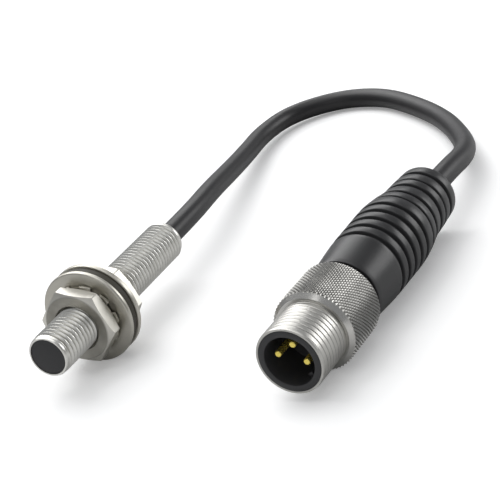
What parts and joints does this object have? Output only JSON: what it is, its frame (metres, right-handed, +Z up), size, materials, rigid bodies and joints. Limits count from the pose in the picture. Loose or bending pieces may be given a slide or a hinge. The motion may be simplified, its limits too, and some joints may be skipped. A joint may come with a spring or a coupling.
{
  "type": "proximity sensor",
  "caption": "Threaded cylindrical inductive proximity sensor with clamping nuts and washers, on a short lead that ends in a round male plug with a knurled coupling screw.",
  "frame": {"origin": "on the surface that the sensor lies on, below the middle of its barrel", "axes": "+Y along the barrel from the sensing face to the lead, +X towards the plug, +Z up"},
  "size_m": [0.0694, 0.134, 0.018],
  "materials": {
    "plated_barrel": "nickel-plated turned thread",
    "plated_screw": "nickel-plated, diamond knurled",
    "plated_hardware": "nickel-plated, satin",
    "black_cap": "moulded, fine matt",
    "black_carrier": "moulded, satin",
    "black_boot": "overmoulded polyurethane, satin",
    "lead_sheath": "extruded polyurethane sheath, matt",
    "seal_rubber": "dark rubber",
    "gold_contact": "gold-plated",
    "ferrite": "sintered",
    "bobbin_plastic": "moulded",
    "copper_winding": "enamelled copper wire",
    "board_green": "solder mask",
    "chip_black": "moulded",
    "potting_resin": "cast resin",
    "wire_brown": "insulation",
    "wire_blue": "insulation",
    "wire_black": "insulation"
  },
  "bodies": {
    "sensor": {"barrel": "plated_barrel", "face_cap": "black_cap", "contact_carrier": "black_carrier", "grip_boot": "black_boot", "lead_jacket": "lead_sheath", "rear_bush": "black_cap", "contact_pins": "gold_contact", "ferrite_core": "ferrite", "coil_bobbin": "bobbin_plastic", "sensing_coil": "copper_winding", "circuit_board": "board_green", "board_components": "chip_black", "potting_plug": "potting_resin", "sensor_wire_brown": "wire_brown", "sensor_wire_blue": "wire_blue", "sensor_wire_black": "wire_black", "plug_wire_brown": "wire_brown", "plug_wire_blue": "wire_blue", "plug_wire_black": "wire_black"},
    "front_rings": {"lock_washer": "plated_hardware", "front_washer": "plated_hardware"},
    "front_nut": {"front_nut": "plated_hardware"},
    "rear_rings": {"rear_washer": "plated_hardware", "seal_ring": "seal_rubber"},
    "rear_nut": {"rear_nut": "plated_hardware"},
    "coupling_screw": {"coupling_screw": "plated_screw"}
  },
  "joints": [
    {"name": "front_rings_slide", "type": "slide", "parent": "sensor", "child": "front_rings", "axis": [0, 1, 0], "range_m": [-0.0091, 0]},
    {"name": "front_nut_turn", "type": "hinge", "parent": "front_rings", "child": "front_nut", "pos_m": [0, -0.01075, 0.009], "axis": [0, 1, 0], "range_deg": [-3240, 0]},
    {"name": "rear_rings_slide", "type": "slide", "parent": "sensor", "child": "rear_rings", "axis": [0, 1, 0], "range_m": [0, 0.0201]},
    {"name": "rear_nut_turn", "type": "hinge", "parent": "rear_rings", "child": "rear_nut", "pos_m": [0, -0.0027, 0.009], "axis": [0, 1, 0], "range_deg": [0, 7200]},
    {"name": "coupling_spin", "type": "hinge", "parent": "sensor", "child": "coupling_screw", "pos_m": [0.048, -0.01401, 0.00745], "axis": [0.0401, 0.9992, 0], "continuous": true}
  ],
  "couplings": [
    {"joint": "front_rings_slide", "follows": "front_nut_turn", "m_per_rad": 0.00015915},
    {"joint": "rear_rings_slide", "follows": "rear_nut_turn", "m_per_rad": 0.00015915}
  ]
}
